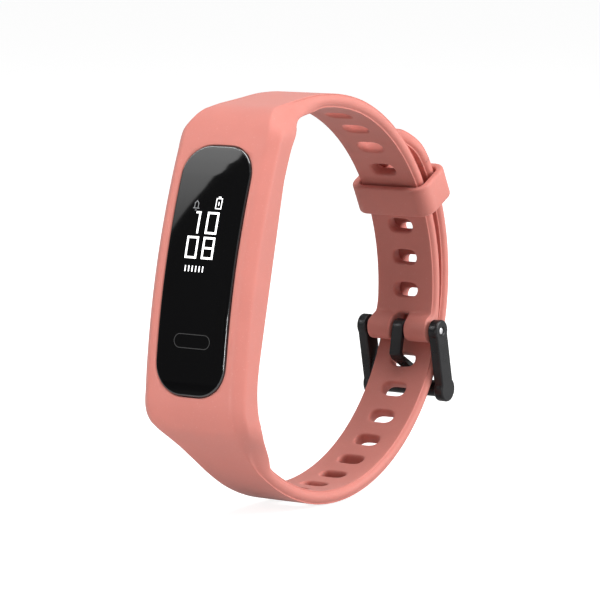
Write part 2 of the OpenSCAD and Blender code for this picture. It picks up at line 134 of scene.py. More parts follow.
class Finish:
    """One material: plain values on the shader's own sockets, and what varies in its nodes."""

    def __init__(self, name, roughness, metallic=0.0, specular=0.5):
        self.material = bpy.data.materials.new(name)
        self.material.use_nodes = True
        self.nodes = self.material.node_tree.nodes
        self.links = self.material.node_tree.links
        self.shader = self.nodes["Principled BSDF"]
        self.shader.inputs["Roughness"].default_value = roughness
        self.shader.inputs["Metallic"].default_value = metallic
        self.shader.inputs["Specular IOR Level"].default_value = specular
        self.place = self.nodes.new("ShaderNodeTexCoord").outputs["Object"]

    def group(self, tree, **values):
        n = self.nodes.new("ShaderNodeGroup")
        n.node_tree = tree
        self.links.new(self.place, n.inputs["Vector"])
        for key, value in values.items():
            n.inputs[key].default_value = value
        return n

    def ramp(self, source, stops):
        n = self.nodes.new("ShaderNodeValToRGB")
        n.color_ramp.elements[0].position, n.color_ramp.elements[0].color = stops[0]
        n.color_ramp.elements[1].position, n.color_ramp.elements[1].color = stops[-1]
        for at, colour in stops[1:-1]:
            n.color_ramp.elements.new(at).color = colour
        self.links.new(source, n.inputs["Fac"])
        return n.outputs["Color"]

    def span(self, source, low, high, start=0.3, end=0.7):
        n = self.nodes.new("ShaderNodeMapRange")
        n.inputs["From Min"].default_value = start
        n.inputs["From Max"].default_value = end
        n.inputs["To Min"].default_value = low
        n.inputs["To Max"].default_value = high
        self.links.new(source, n.inputs["Value"])
        return n.outputs["Result"]

    def mix(self, mask, a, b):
        n = self.nodes.new("ShaderNodeMix")
        n.data_type = "RGBA"
        colour_a, colour_b, mixed = n.inputs[6], n.inputs[7], n.outputs[2]
        for socket, value in ((n.inputs["Factor"], mask), (colour_a, a), (colour_b, b)):
            if isinstance(value, tuple):
                socket.default_value = value
            else:
                self.links.new(value, socket)
        return mixed

    def colour(self, source):
        self.links.new(source, self.shader.inputs["Base Color"])

    def rough(self, source):
        self.links.new(source, self.shader.inputs["Roughness"])

    def bump(self, source, depth):
        n = self.nodes.new("ShaderNodeBump")
        n.inputs["Strength"].default_value = 1.0
        n.inputs["Distance"].default_value = depth * MM
        self.links.new(source, n.inputs["Height"])
        self.links.new(n.outputs["Normal"], self.shader.inputs["Normal"])

    def on(self, piece):
        if not piece.data.materials:
            piece.data.materials.append(self.material)
        for i in range(len(piece.data.materials)):
            piece.data.materials[i] = self.material


def shade(colour, factor):
    return tuple(min(1.0, c * factor) for c in colour[:3]) + (1.0,)


def moulded(name, colour, roughness, scale, depth, metallic=0.0, specular=0.5, spread=0.10):
    """A finish whose colour and gloss wander a little over a fine moulded skin."""
    f = Finish(name, roughness, metallic, specular)
    skin = f.group(grain, Scale=scale)
    dark, light = shade(colour, 1 - spread), shade(colour, 1 + spread)
    f.colour(f.ramp(skin.outputs["Mottle"], [(0.3, dark), (0.7, light)]))
    f.rough(f.span(skin.outputs["Mottle"], roughness * 0.9, min(1.0, roughness * 1.1)))
    f.bump(skin.outputs["Height"], depth)
    return f


def drawn_metal(name, colour, roughness, stretch, depth):
    """Sheet metal with fine drawn lines."""
    f = Finish(name, roughness, 1.0)
    lines = f.group(brushed, Stretch=stretch)
    dark, light = shade(colour, 0.86), shade(colour, 1.08)
    f.colour(f.ramp(lines.outputs["Lines"], [(0.3, dark), (0.7, light)]))
    f.rough(f.span(lines.outputs["Lines"], roughness * 0.8, roughness * 1.25))
    f.bump(lines.outputs["Lines"], depth)
    return f


lacquer = Finish("board_lacquer", 0.42)
tracks = lacquer.nodes.new("ShaderNodeTexBrick")
tracks.inputs["Scale"].default_value = 620.0
tracks.inputs["Mortar Size"].default_value = 0.035
tracks.inputs["Mortar Smooth"].default_value = 0.3
lacquer.links.new(lacquer.place, tracks.inputs["Vector"])
board_skin = lacquer.group(grain, Scale=1500.0)
lacquer_green = lacquer.ramp(
    board_skin.outputs["Mottle"], [(0.3, (0.006, 0.055, 0.026, 1)), (0.7, (0.012, 0.085, 0.040, 1))]
)
lacquer.colour(lacquer.mix(tracks.outputs["Fac"], lacquer_green, (0.05, 0.19, 0.08, 1)))
lacquer.rough(lacquer.span(board_skin.outputs["Mottle"], 0.34, 0.5))
lacquer.bump(tracks.outputs["Fac"], 0.03)
for node in ("main_board", "battery_board"):
    lacquer.on(frame["nodes"][node])

chip_resin = moulded("chip_resin", (0.018, 0.018, 0.019, 1), 0.55, 4200.0, 0.006, spread=0.2)
for node in ("processor_chip", "memory_chip", "motion_sensor"):
    chip_resin.on(frame["nodes"][node])

tin_plate = drawn_metal("tin_plate", (0.62, 0.62, 0.63, 1), 0.32, (300.0, 300.0, 9000.0), 0.004)
for node in ("radio_shield", "motor_case", "upper_screw", "lower_screw", "motor_shaft"):
    tin_plate.on(frame["nodes"][node])

gilt = drawn_metal("gilt_plate", (0.83, 0.60, 0.25, 1), 0.26, (8000.0, 8000.0, 900.0), 0.003)
for node in (
    "antenna_strip",
    "left_contact",
    "right_contact",
    "left_contact_spring",
    "right_contact_spring",
):
    gilt.on(frame["nodes"][node])

small_parts = Finish("part_ceramic", 0.5)
bodies = small_parts.group(grain, Scale=2600.0)
small_parts.colour(
    small_parts.ramp(
        bodies.outputs["Mottle"],
        [
            (0.35, (0.16, 0.09, 0.045, 1)),
            (0.5, (0.30, 0.19, 0.10, 1)),
            (0.65, (0.55, 0.50, 0.44, 1)),
        ],
    )
)
small_parts.rough(small_parts.span(bodies.outputs["Mottle"], 0.4, 0.6))
small_parts.bump(bodies.outputs["Height"], 0.006)
small_parts.on(frame["nodes"]["board_parts"])

# ---- Battery and motor ----
# A foil pouch cell lies on a foam pad behind the board, and a coin motor below it turns a
# half-round weight of sintered metal on its shaft.
pouch = Finish("cell_foil", 0.3, 1.0)
creases = pouch.nodes.new("ShaderNodeTexVoronoi")
creases.feature = "DISTANCE_TO_EDGE"
creases.inputs["Scale"].default_value = 420.0
pouch.links.new(pouch.place, creases.inputs["Vector"])
pouch_skin = pouch.group(grain, Scale=1200.0)
pouch.colour(
    pouch.ramp(
        pouch_skin.outputs["Mottle"], [(0.3, (0.50, 0.51, 0.53, 1)), (0.7, (0.66, 0.67, 0.69, 1))]
    )
)
pouch.rough(pouch.span(creases.outputs["Distance"], 0.42, 0.24, 0.0, 0.2))
pouch.bump(creases.outputs["Distance"], 0.05)
pouch.on(frame["nodes"]["battery_cell"])

foam_pad = Finish("pad_foam", 0.95)
cells = foam_pad.nodes.new("ShaderNodeTexVoronoi")
cells.inputs["Scale"].default_value = 2600.0
foam_pad.links.new(foam_pad.place, cells.inputs["Vector"])
foam_pad.colour(
    foam_pad.ramp(
        cells.outputs["Distance"], [(0.1, (0.30, 0.29, 0.26, 1)), (0.6, (0.66, 0.65, 0.60, 1))]
    )
)
foam_pad.bump(cells.outputs["Distance"], 0.08)
foam_pad.on(frame["nodes"]["battery_pad"])

sintered = moulded(
    "sintered_weight", (0.16, 0.155, 0.15, 1), 0.48, 3000.0, 0.012, metallic=1.0, spread=0.2
)
sintered.on(frame["nodes"]["motor_weight"])

# ---- Display and touch key ----
# The display is a thin glass panel bonded clear to the cover glass, on an amber ribbon. The
# touch key is a copper pad on the same kind of ribbon, over a foam spacer.
panel = Finish("display_panel", 0.12)
cell_rows = panel.nodes.new("ShaderNodeTexBrick")
cell_rows.offset = 0.0
cell_rows.inputs["Scale"].default_value = 4000.0
cell_rows.inputs["Mortar Size"].default_value = 0.08
panel.links.new(panel.place, cell_rows.inputs["Vector"])
panel.colour(panel.mix(cell_rows.outputs["Fac"], (0.006, 0.006, 0.008, 1), (0.016, 0.016, 0.02, 1)))
panel.rough(panel.span(cell_rows.outputs["Fac"], 0.10, 0.22, 0.0, 1.0))
panel.bump(cell_rows.outputs["Fac"], 0.002)
panel.on(frame["nodes"]["display_panel"])

moulded("clear_bond", (0.42, 0.44, 0.47, 1), 0.14, 700.0, 0.004, spread=0.05).on(
    frame["nodes"]["display_bond"]
)

ribbon = Finish("amber_ribbon", 0.35)
wires = ribbon.nodes.new("ShaderNodeTexWave")
wires.bands_direction = "X"
wires.inputs["Scale"].default_value = 1300.0
wires.inputs["Distortion"].default_value = 0.0
ribbon.links.new(ribbon.place, wires.inputs["Vector"])
ribbon.colour(
    ribbon.ramp(
        wires.outputs["Fac"], [(0.35, (0.32, 0.11, 0.018, 1)), (0.6, (0.62, 0.30, 0.07, 1))]
    )
)
ribbon.bump(wires.outputs["Fac"], 0.012)
for node in ("display_flex", "touch_electrode"):
    ribbon.on(frame["nodes"][node])

moulded("spacer_foam", (0.035, 0.035, 0.038, 1), 0.85, 2400.0, 0.05, spread=0.3).on(
    frame["nodes"]["touch_spacer"]
)

# ---- Housing, seal and back cover ----
# The housing and its back are moulded in black glass-filled plastic with a fine spark-eroded
# skin. A rubber ring seals the split, and black adhesive holds the glass.
shell_plastic = moulded("shell_plastic", (0.020, 0.020, 0.022, 1), 0.46, 2300.0, 0.010, spread=0.18)
for node in ("front_housing", "back_cover"):
    shell_plastic.on(frame["nodes"][node])
moulded("seal_rubber", (0.035, 0.035, 0.038, 1), 0.72, 1900.0, 0.012, spread=0.2).on(
    frame["nodes"]["housing_seal"]
)
moulded("glass_adhesive", (0.015, 0.015, 0.015, 1), 0.6, 1600.0, 0.01, spread=0.2).on(
    frame["nodes"]["glass_bond"]
)

# ---- Cover glass ----
# One sheet of black-backed glass, curved along its length. Its rim is ground to a round edge
# and polished, so that it catches the lights. It is glued into the core's housing.

# The core slides out along the band's lean, so its slide gives the lean of every piece
slide = next(j for j in frame["joints"] if j["name"] == "core_release")
lean = math.atan2(slide["axis"][2], slide["axis"][1])
scene = bpy.context.scene


def leaned(x, y, z):
    """A point of the upright band, in millimetres, as a place in metres in the leaning one."""
    c, s = math.cos(lean), math.sin(lean)
    return Vector((x, y * c - z * s, y * s + z * c)) * MM


def begin_edit(piece):
    bpy.ops.object.select_all(action="DESELECT")
    piece.select_set(True)
    bpy.context.view_layer.objects.active = piece
    bpy.ops.object.mode_set(mode="EDIT")


def end_edit():
    bpy.ops.object.mode_set(mode="OBJECT")


def use_modifiers(piece):
    """Applies every modifier on the piece in turn."""
    bpy.ops.object.select_all(action="DESELECT")
    piece.select_set(True)
    bpy.context.view_layer.objects.active = piece
    for m in list(piece.modifiers):
        bpy.ops.object.modifier_apply(modifier=m.name)


def smooth(piece, angle=None):
    bpy.ops.object.select_all(action="DESELECT")
    piece.select_set(True)
    bpy.context.view_layer.objects.active = piece
    if angle is None:
        bpy.ops.object.shade_smooth()
    else:
        bpy.ops.object.shade_smooth_by_angle(angle=math.radians(angle))


def softened_copy(node, name, width, segments=3, flat=3.0, corner=35.0, round_from=38.0):
    """A CAD piece with its loose triangles merged, its flats cleaned and its edges rounded."""
    piece = frame["nodes"][node].copy()
    piece.data = frame["nodes"][node].data.copy()
    piece.name = name
    piece.parent = None
    for key in list(piece.keys()):
        del piece[key]
    scene.collection.objects.link(piece)
    begin_edit(piece)
    bpy.ops.mesh.select_all(action="SELECT")
    bpy.ops.mesh.remove_doubles(threshold=2e-6)
    bpy.ops.mesh.dissolve_limited(angle_limit=math.radians(flat))
    end_edit()
    for attribute in piece.data.attributes:
        if attribute.name in ("sharp_edge", "custom_normal"):
            piece.data.attributes.remove(attribute)
            break
    edge = piece.modifiers.new("edge", "BEVEL")
    edge.width = width * MM
    edge.segments = segments
    edge.limit_method = "ANGLE"
    edge.angle_limit = math.radians(corner)
    use_modifiers(piece)
    smooth(piece, round_from)
    even = piece.modifiers.new("even", "WEIGHTED_NORMAL")
    even.weight = 100
    even.keep_sharp = True
    use_modifiers(piece)
    return piece


glass_edge = 0.42
cover = softened_copy(
    "cover_glass", "cover_glass_lens", glass_edge, segments=5, flat=0.4, corner=50
)
lens = Finish("black_glass", 0.02, 0.0, 0.13)
film = lens.group(grain, Scale=160.0)
lens_dark, lens_light = (0.0018, 0.0018, 0.002, 1), (0.0028, 0.0028, 0.0031, 1)
lens.colour(lens.ramp(film.outputs["Mottle"], [(0.3, lens_dark), (0.7, lens_light)]))
lens.rough(lens.span(film.outputs["Mottle"], 0.012, 0.03))
lens.bump(film.outputs["Mottle"], 0.0003)
lens.on(cover)
polished = Finish("polished_rim", 0.08, 0.0, 1.0)
polished.shader.inputs["Coat Weight"].default_value = 1.0
polished.shader.inputs["Coat Roughness"].default_value = 0.04
ground = polished.group(grain, Scale=2400.0)
rim_dark, rim_light = (0.006, 0.006, 0.0065, 1), (0.012, 0.012, 0.013, 1)
polished.colour(polished.ramp(ground.outputs["Mottle"], [(0.3, rim_dark), (0.7, rim_light)]))
polished.rough(polished.span(ground.outputs["Mottle"], 0.06, 0.12))
polished.bump(ground.outputs["Height"], 0.002)
cover.data.materials.append(polished.material)
outlook = leaned(0, -1, 0).normalized()
for f in cover.data.polygons:
    f.material_index = 0 if abs(f.normal.dot(outlook)) > math.cos(math.radians(13)) else 1
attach(cover, "core")
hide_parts("cover_glass")

# ---- Lit figures and key outline ----
# The display lights thin bars through the glass: two rows of two numerals, a battery gauge,
# a small bell mark and a row of step marks. A printed outline marks the touch key; its grey
# ink is painted as a faint glow.
glass_front = -28.70
face_level = -0.8
face_radius = 111.0
print_stand, print_t = 0.012, 0.02


def stand_up(piece):
    """Leans a mesh drawn upright in millimetres, and leaves its object at the origin."""
    for v in piece.data.vertices:
        v.co = leaned(*v.co)
    piece.data.update()


def on_glass(x, z, proud=print_stand):
    """A point of the display plane laid on the curved glass; z counts from its middle."""
    y = glass_front + face_radius - math.sqrt(face_radius**2 - z**2) - proud
    return (x, y, face_level + z)


def bar_marks(name, bars, thickness):
    """Flat bars between pairs of points on the glass, each with squared ends."""
    mesh = bpy.data.meshes.new(name)
    verts, faces = [], []
    for (x0, z0), (x1, z1) in bars:
        d = math.hypot(x1 - x0, z1 - z0)
        ux, uz = (x1 - x0) / d * thickness / 2, (z1 - z0) / d * thickness / 2
        ends = [(x0 - ux, z0 - uz), (x1 + ux, z1 + uz)]
        side = (-uz, ux)
        at = len(verts)
        for px, pz in ends:
            verts.append(on_glass(px - side[0], pz - side[1]))
            verts.append(on_glass(px + side[0], pz + side[1]))
        faces.append((at, at + 2, at + 3, at + 1))
    mesh.from_pydata(verts, [], faces)
    piece = bpy.data.objects.new(name, mesh)
    scene.collection.objects.link(piece)
    begin_edit(piece)
    bpy.ops.mesh.select_all(action="SELECT")
    bpy.ops.mesh.extrude_region_move(TRANSFORM_OT_translate={"value": (0, print_t, 0)})
    bpy.ops.mesh.select_all(action="SELECT")
    bpy.ops.mesh.normals_make_consistent(inside=False)
    end_edit()
    stand_up(piece)
    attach(piece, "core")
    return piece


def lit(name, colour, power):
    """A lit finish, a little uneven as light through printed glass is."""
    f = Finish(name, 0.3)
    f.shader.inputs["Base Color"].default_value = (0.02, 0.02, 0.02, 1)
    f.shader.inputs["Emission Strength"].default_value = power
    uneven = f.group(grain, Scale=3200.0)
    glow = f.ramp(uneven.outputs["Mottle"], [(0.3, shade(colour, 0.86)), (0.7, shade(colour, 1.0))])
    f.links.new(glow, f.shader.inputs["Emission Color"])
    return f


# Each numeral is the bars of a seven-bar figure that are lit
SEVEN = {"0": "abcdef", "1": "bc", "8": "abcdefg"}


def numeral(sign, x, z, w, h):
    """Bars of one numeral whose lower left corner is at x, z."""
    p = {
        "a": ((x, z + h), (x + w, z + h)),
        "b": ((x + w, z + h / 2), (x + w, z + h)),
        "c": ((x + w, z), (x + w, z + h / 2)),
        "d": ((x, z), (x + w, z)),
        "e": ((x, z), (x, z + h / 2)),
        "f": ((x, z + h / 2), (x, z + h)),
        "g": ((x, z + h / 2), (x + w, z + h / 2)),
    }
    bars = [p[k] for k in SEVEN[sign]]
    if sign == "1":
        bars.append(((x + w - 0.55, z + h), (x + w, z + h)))
    return bars


white_lit = lit("lit_white", (1.0, 1.0, 1.0, 1), 2.6)
dim_lit = lit("lit_dim", (0.62, 0.64, 0.66, 1), 0.55)

figure_w, figure_h = 1.75, 2.95
hour_z, minute_z = 5.35, 1.65
left_x, right_x = -2.75, 0.15
figures = (
    numeral("1", -2.3, hour_z, figure_w * 0.55, figure_h)
    + numeral("0", right_x, hour_z, figure_w, figure_h)
    + numeral("0", left_x, minute_z, figure_w, figure_h)
    + numeral("8", right_x, minute_z, figure_w, figure_h)
)
figure_piece = bar_marks("lit_figures", figures, 0.30)
white_lit.on(figure_piece)

gauge_x, gauge_z, gauge_w, gauge_h = 1.15, 9.0, 0.95, 1.5
gauge = [
    ((gauge_x, gauge_z), (gauge_x + gauge_w, gauge_z)),
    ((gauge_x + gauge_w, gauge_z), (gauge_x + gauge_w, gauge_z + gauge_h)),
    ((gauge_x + gauge_w, gauge_z + gauge_h), (gauge_x, gauge_z + gauge_h)),
    ((gauge_x, gauge_z + gauge_h), (gauge_x, gauge_z)),
    ((gauge_x + 0.3, gauge_z + 1.72), (gauge_x + 0.65, gauge_z + 1.72)),
    ((gauge_x + 0.475, gauge_z + 0.5), (gauge_x + 0.475, gauge_z + 0.95)),
]
gauge_piece = bar_marks("lit_gauge", gauge, 0.12)
white_lit.on(gauge_piece)

bell_x, bell_z = -2.75, 8.9
bell = [
    ((bell_x, bell_z), (bell_x + 1.0, bell_z)),
    ((bell_x + 0.18, bell_z), (bell_x + 0.18, bell_z + 0.75)),
    ((bell_x + 0.82, bell_z), (bell_x + 0.82, bell_z + 0.75)),
    ((bell_x + 0.18, bell_z + 0.75), (bell_x + 0.5, bell_z + 1.1)),
    ((bell_x + 0.5, bell_z + 1.1), (bell_x + 0.82, bell_z + 0.75)),
    ((bell_x + 0.4, bell_z - 0.3), (bell_x + 0.6, bell_z - 0.3)),
]
bell_piece = bar_marks("lit_bell", bell, 0.10)
dim_lit.on(bell_piece)

step_x, step_pitch, step_half, step_count = -2.5, 0.62, 0.35, 6
step_marks = [
    ((step_x + step_pitch * i, -step_half), (step_x + step_pitch * i, step_half))
    for i in range(step_count)
]
steps_piece = bar_marks("lit_steps", step_marks, 0.17)
white_lit.on(steps_piece)

key_x, key_z, key_w, key_h = 0.05, -10.5, 6.3, 2.0
arc = 12
outline = []
for side in (1, -1):
    for i in range(arc + 1):
        t = math.radians(-90 + 180 * i / arc)
        outline.append(
            (
                key_x + side * (key_w / 2 - key_h / 2 + key_h / 2 * math.cos(t)),
                key_z + side * key_h / 2 * math.sin(t),
            )
        )
key_bars = [(outline[i], outline[(i + 1) % len(outline)]) for i in range(len(outline))]
key_piece = bar_marks("key_outline", key_bars, 0.11)
# The key's printed outline glows faintly: painted light standing in for its grey ink catching the
# lights
lit("key_print_painted_glow", (0.30, 0.30, 0.30, 1), 0.09).on(key_piece)

# ---- Band ----
# Cradle, two straps, end barrel and rounded tip are one compression-moulded piece of matte
# silicone. The core snaps in behind the lip of the cradle's window from the back.
strap_half, strap_t, wrist_r = 5.6, 2.1, 30.0
outer_r = wrist_r + strap_t
buckle_c = (-2.15, -2.45)
hole_half_h, hole_margin, hole_step = 1.35, 1.95, 10
cradle_half, bevel_leg, wall_depth = 9.0, 1.5, 5.6
window_half, pocket_half, lip = 6.3, 7.65, 3.15
window_end, pocket_end, window_r = 18.55, 19.25, 4.75
rim_y, face_cy = -28.55, 82.45
bend_r = 6.5
upper_bend, lower_bend = (-20.29, 18.32), (-20.52, -18.61)
pin_c = (27.71, -2.18)
barrel_r = 2.05
slot_half = 1.4

# Columns of the band's mesh from its middle line outwards, on a strap and on the cradle
columns = 6
strap_x = (0.0, 1.0, 2.3, 3.0, 4.3, 5.15, 5.6)
cradle_x = (0.0, 1.7, 2.9, 4.0, 6.3, 7.5, 9.0)
# A strap's round edge, layer by layer: how far it is set in, and its share of the depth
edge_x = (-0.55, -0.12, 0.0, -0.12, -0.55)
edge_d = (0.10, 0.26, 0.5, 0.74, 0.90)


def new_piece(name):
    piece = bpy.context.object
    piece.name = name
    piece.data.name = name
    return piece


def outward(piece):
    begin_edit(piece)
    bpy.ops.mesh.select_all(action="SELECT")
    bpy.ops.mesh.normals_make_consistent(inside=False)
    end_edit()


def polar(c, r, a):
    return (c[0] + r * math.cos(math.radians(a)), c[1] + r * math.sin(math.radians(a)))


def between(p, q, t):
    return (p[0] + (q[0] - p[0]) * t, p[1] + (q[1] - p[1]) * t)


def face_point(z):
    return (face_cy - math.sqrt(face_radius**2 - (z - face_level) ** 2), z)


# Stations run from the barrel up over the top, down the face and round under to the tip. One
# station has its outer and inner point, its half width and a mark for what is cut there.
stations = []


def station(kind, outer, inner, half=strap_half, **extra):
    stations.append(dict(kind=kind, outer=outer, inner=inner, half=half, **extra))


for k0, k4 in ((-50, -130), (-22, -164), (3, 158)):
    station("barrel", polar(pin_c, barrel_r, k0), polar(pin_c, barrel_r, k4), turn=(k0, k4))
station("barrel", (29.84, -0.9), (26.66, -0.40))
station("strap", (29.92, 0.15), (27.55, 0.25))


def strap_station(c, a, kind="strap", half=strap_half, **extra):
    station(kind, polar(c, outer_r, a), polar(c, wrist_r, a), half, **extra)


hole_turn = math.degrees(hole_half_h / (wrist_r + strap_t / 2))
margin_turn = math.degrees(hole_margin / (wrist_r + strap_t / 2))


def hole_stations(c, a):
    strap_station(c, a - margin_turn)
    strap_station(c, a - hole_turn, "hole_edge", side=-1)
    strap_station(c, a, "hole_middle")
    strap_station(c, a + hole_turn, "hole_edge", side=1)
    strap_station(c, a + margin_turn)


buckle_hole_at, upper_leave, lower_leave = 12.2, 110, -116
for i in range(8):
    hole_stations(buckle_c, buckle_hole_at + hole_step * i)
for a in (90, 96, 102, 107):
    strap_station(buckle_c, a)

# The cradle keeps its full width between these heights, and narrows to the straps past them
full_top, full_bottom, taper = 19.52, -22.26, 7.0


def shoulder_half(z):
    over = (z - full_top if z > 0 else full_bottom - z) / taper
    over = min(1.0, max(0.0, over))
    return strap_half + (cradle_half - strap_half) * (0.5 + 0.5 * math.cos(math.pi * over))


over_r, under_r = outer_r + 0.12, wrist_r - 0.3
top_start = polar(buckle_c, over_r, upper_leave)
top_in = polar(buckle_c, under_r, upper_leave)
top_turn = polar(upper_bend, bend_r, upper_leave)
wall_y = rim_y + wall_depth
corner_back, corner_down = 6.5, 8.0


def inner_corner(start, leave, way, s):
    """The curve from the strap's inner side to the cradle's wall, as s goes from 0 to 1."""
    t = (-way * math.sin(math.radians(leave)), way * math.cos(math.radians(leave)))
    reach = (wall_y - start[0]) / t[0]
    c = (wall_y, start[1] + reach * t[1])
    b = (c[0] - corner_back * t[0], c[1] - corner_back * t[1])
    a = (wall_y, c[1] - way * corner_down)
    return tuple((1 - s) ** 2 * b[i] + 2 * s * (1 - s) * c[i] + s * s * a[i] for i in (0, 1))


def top_corner(s):
    return inner_corner(top_in, upper_leave, 1, s)


def low_corner(s):
    return inner_corner(low_in, lower_leave, -1, s)


for t, s in ((0.0, -0.5), (0.3, -0.25), (0.55, 0.0), (0.8, 0.08)):
    o = between(top_start, top_turn, t)
    q = top_corner(s) if s >= 0 else between(top_in, top_corner(0), 1 + 2 * s)
    station("shoulder", o, q, shoulder_half(o[1]))
for i, s in enumerate((0.16, 0.24, 0.32, 0.40, 0.46, 0.52)):
    o = polar(upper_bend, bend_r, upper_leave + (180 - upper_leave) * i / 6)
    station("shoulder", o, top_corner(s), shoulder_half(o[1]))

# Down the face: the window's round corners take three stations each
corner_z = face_level + window_end - window_r


def corner(phi):
    c, s = math.cos(math.radians(phi)), math.sin(math.radians(phi))
    return window_half - window_r + window_r * c, window_r * s


def face_station(kind, z, inner=None, **extra):
    station(kind, face_point(z), inner or (wall_y, z), cradle_half, **extra)


tail_c = (0, 0)
low_start = polar(tail_c, over_r, lower_leave)
low_in = polar(tail_c, under_r, lower_leave)
low_turn = polar(lower_bend, bend_r, lower_leave)
low_corner_z = 2 * face_level - corner_z
face_station("face", 18.25, top_corner(0.58))
face_station("window_end", corner_z + window_r, top_corner(0.66), phi=90, way=1)
for phi, s in ((32, 0.82), (15, 0.92)):
    face_station("window", corner_z + corner(phi)[1], top_corner(s), phi=phi, way=1)
face_station("window", corner_z, top_corner(1.0), phi=0, way=0)
for z in (10.0, 5.8, 1.5, -2.5, -6.5, -10.5):
    face_station("window", z, phi=0, way=0)
face_station("window", low_corner_z, low_corner(1.0), phi=0, way=0)
for phi, s in ((15, 0.88), (32, 0.74)):
    face_station("window", low_corner_z - corner(phi)[1], low_corner(s), phi=phi, way=-1)
face_station("window_end", low_corner_z - window_r, low_corner(0.54), phi=90, way=-1)

for a, s in ((196, 0.44), (205, 0.38), (214, 0.32), (224, 0.25), (234, 0.18), (244, 0.12)):
    o = polar(lower_bend, bend_r, a)
    station("shoulder", o, low_corner(s), shoulder_half(o[1]))
for t, s in ((0.25, 0.06), (0.5, 0.0), (0.75, -0.25), (1.0, -0.5)):
    o = between(low_turn, low_start, t)
    q = low_corner(s) if s >= 0 else between(low_in, low_corner(0), 1 + 2 * s)
    station("shoulder", o, q, shoulder_half(o[1]))
for a in (-112, -106, -99, -92):
    strap_station(tail_c, a)
tongue_hole_at, tip_at = -13.5, 51.5
for i in range(-7, 7):
    hole_stations(tail_c, tongue_hole_at + hole_step * i)
strap_station(tail_c, tip_at - 2.5)
for d in (0.6, 1.8, 3.0, 4.1, 4.9, 5.4):
    half = math.sqrt(strap_half**2 - d**2)
    strap_station(tail_c, tip_at + math.degrees(d / outer_r), "tip", half)

rows = len(stations)
layers = 5
bpy.ops.mesh.primitive_grid_add(x_subdivisions=2 * columns, y_subdivisions=rows - 1, size=2)
band = new_piece("silicone_band")


def grid_index(v):
    """Column from the middle, station and layer of a vertex of the unshaped grid."""
    return round(v.co.x * columns), round((v.co.y + 1) / 2 * (rows - 1)), round(v.co.z)


# Cells left out for holes, the tongue's slot and the window
WINDOW = ("window", "window_end")
begin_edit(band)
sheet = bmesh.from_edit_mesh(band.data)
bpy.ops.mesh.select_mode(type="FACE")
bpy.ops.mesh.select_all(action="DESELECT")
for f in sheet.faces:
    c = f.calc_center_median()
    col = abs(c.x * columns)
    row = (c.y + 1) / 2 * (rows - 1)
    below, above = stations[math.floor(row)], stations[math.ceil(row)]
    in_hole = "hole_middle" in (below["kind"], above["kind"]) and col < 2
    in_slot = math.floor(row) < 4 and col < 1
    in_window = below["kind"] in WINDOW and above["kind"] in WINDOW and col < 4
    f.select_set(in_hole or in_slot or in_window)
bmesh.update_edit_mesh(band.data)
bpy.ops.mesh.delete(type="FACE")
bpy.ops.mesh.select_all(action="SELECT")
for k in range(layers - 1):
    bpy.ops.mesh.extrude_region_move(TRANSFORM_OT_translate={"value": (0, 0, 1)})
end_edit()

# Depths of the five layers below the face, at the window and on the cradle's sides
window_depths = (0.0, 1.6, lip, lip, wall_depth)
side_depths = (bevel_leg, 2.5, 3.4, 4.4, wall_depth)
pocket_round, foot_inset, end_swell = 0.7, 0.2, 0.25
end_turns = (90, 90, 78, 64, 47)


def window_place(n, k, s):
    """X and Z of a vertex on the window's edge, or on the wider pocket behind its lip."""
    in_pocket = k >= 3
    r = window_r + (pocket_round if in_pocket else 0.0)
    wx = (pocket_half if in_pocket else window_half) - r
    wz = (pocket_end if in_pocket else window_end) - r
    if s["phi"] == 0:
        return wx + r, s["outer"][1]
    at_end = s["kind"] == "window_end"
    turn = math.radians(end_turns[n] if at_end else s["phi"])
    x = cradle_x[n] if at_end and n < 2 else wx + r * math.cos(turn)
    return x, face_level + s["way"] * (wz + r * math.sin(turn))


def cradle_place(n, k, s):
    """X, Y and Z of a vertex where the cradle surrounds the core."""
    x, z = cradle_x[n], s["outer"][1]
    if s["kind"] in WINDOW and n <= 4:
        x, z = window_place(n, k, s)
    elif s["kind"] == "window_end" and n == 5:
        z += end_swell * s["way"]
    y = face_point(z)[0] + (window_depths if n < columns else side_depths)[k]
    if k == layers - 1:
        y = s["inner"][0]
        if n >= 5 or s["kind"] != "window_end":
            z = s["inner"][1]
        if n == columns:
            x = cradle_half - foot_inset
    return x, y, z


# A hole is a rounded slot, narrow in its throat and flared at both mouths
mouth_half, throat_half = (1.36, 2.34), (1.10, 2.12)
hole_depths = (0.0, 0.17, 0.5, 0.83, 1.0)


def hole_place(n, k, s):
    """X and the (Y, Z) point of a vertex on a hole's wall."""
    o, q = s["outer"], s["inner"]
    half_h, half_l = mouth_half if k in (0, layers - 1) else throat_half
    end = half_l - half_h
    if s["kind"] == "hole_middle":
        x, up = (end + 1.09 * half_h if n == 2 else strap_x[n]), 0.0
    else:
        corner_point = (end + 0.793 * half_h, half_h * 0.8)
        x, up = ((0.0, half_h), (end * 1.05, half_h * 1.037), corner_point)[n]
    a = math.atan2(o[1] - q[1], o[0] - q[0])
    shift = s.get("side", 0) * (up - hole_half_h)
    p = between(o, q, hole_depths[k])
    return x, (p[0] - shift * math.sin(a), p[1] + shift * math.cos(a))


wall_shares = (0.0, 0.24, 0.46, 0.7, 1.0)


def shoulder_place(n, k, s):
    """X of a vertex where the strap widens to the cradle, and its share of the depth."""
    o, q, share = s["outer"], s["inner"], k / (layers - 1)
    half = shoulder_half(o[1] + (q[1] - o[1]) * share)
    wide = (half - strap_half) / (cradle_half - strap_half)
    if n < columns:
        return strap_x[n] + (cradle_x[n] - strap_x[n]) * wide, share
    x = half + edge_x[k] * (1 - wide) - (foot_inset * wide if k == layers - 1 else 0.0)
    bevel = bevel_leg / math.dist(o, q)
    wall = bevel + (1 - bevel) * wall_shares[k]
    return x, edge_d[k] * (1 - wide) + wall * wide


barrel_inset, tip_least = 0.25, 0.3
tip_bow = (-0.35, -0.08, 0.05, -0.08, -0.35)


